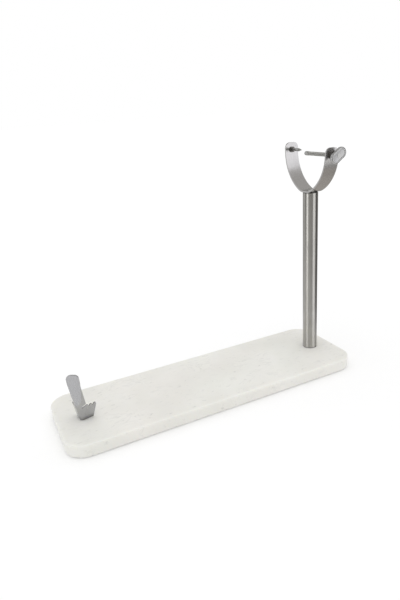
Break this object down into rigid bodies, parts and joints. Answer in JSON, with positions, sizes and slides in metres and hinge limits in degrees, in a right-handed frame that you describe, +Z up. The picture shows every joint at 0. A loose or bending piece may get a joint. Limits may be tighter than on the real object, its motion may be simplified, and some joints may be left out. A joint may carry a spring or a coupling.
{
  "type": "ham stand",
  "caption": "Long stone board with a steel column carrying a U-shaped clamp fork, and a folded toothed support at the other end, for holding a ham while it is carved.",
  "frame": {"origin": "on the table under the middle of the board", "axes": "+X along the board to the column, +Y to the spike's side of the fork, +Z up"},
  "size_m": [0.48, 0.15, 0.364],
  "materials": {
    "marble": "honed white marble with faint grey veins",
    "pad_rubber": "translucent grey rubber",
    "tube_steel": "stainless tube, brushed round the tube",
    "strap_steel": "stainless strap, brushed along its length",
    "support_steel": "satin stainless sheet",
    "rod_steel": "turned stainless screw",
    "fixing_steel": "polished stainless",
    "collar_steel": "dark turned steel",
    "knob_metal": "satin cast metal",
    "plug_steel": "turned steel",
    "zinc_fixings": "zinc-plated"
  },
  "bodies": {
    "base": {"marble_board": "marble", "board_pads": "pad_rubber", "column_tube": "tube_steel", "column_lower_plug": "plug_steel", "column_upper_plug": "plug_steel", "column_gasket": "pad_rubber", "column_bolt": "zinc_fixings", "column_bolt_washer": "zinc_fixings", "fork_washer": "collar_steel", "fork_screw": "fixing_steel", "support_bolt_washer": "zinc_fixings"},
    "fork": {"fork_strap": "strap_steel", "spike": "fixing_steel", "spike_collar": "collar_steel", "spike_nut": "fixing_steel", "clamp_boss": "collar_steel"},
    "clamp_nose": {"clamp_nose": "rod_steel"},
    "clamp_screw": {"clamp_rod": "rod_steel", "wing_knob": "knob_metal", "wing_pin": "fixing_steel"},
    "support": {"front_support": "support_steel", "support_foot": "support_steel", "support_foot_pad": "pad_rubber", "support_weld_nut": "fixing_steel", "support_bolt": "zinc_fixings"}
  },
  "joints": [
    {"name": "fork_swivel", "type": "hinge", "parent": "base", "child": "fork", "pos_m": [0.203, 0, 0.29], "axis": [0, 0, 1], "range_deg": [-90, 90]},
    {"name": "clamp_feed", "type": "slide", "parent": "fork", "child": "clamp_nose", "axis": [0, 1, 0], "range_m": [-0.052, 0.004]},
    {"name": "clamp_turn", "type": "hinge", "parent": "clamp_nose", "child": "clamp_screw", "pos_m": [0.203, 0, 0.3483], "axis": [0, 1, 0], "range_deg": [-18720, 1440]},
    {"name": "support_swivel", "type": "hinge", "parent": "base", "child": "support", "pos_m": [-0.1984, 0, 0.02], "axis": [0, 0, 1], "range_deg": [-140, 40]}
  ],
  "couplings": [
    {"joint": "clamp_turn", "follows": "clamp_feed", "rad_per_m": 6283.2}
  ]
}
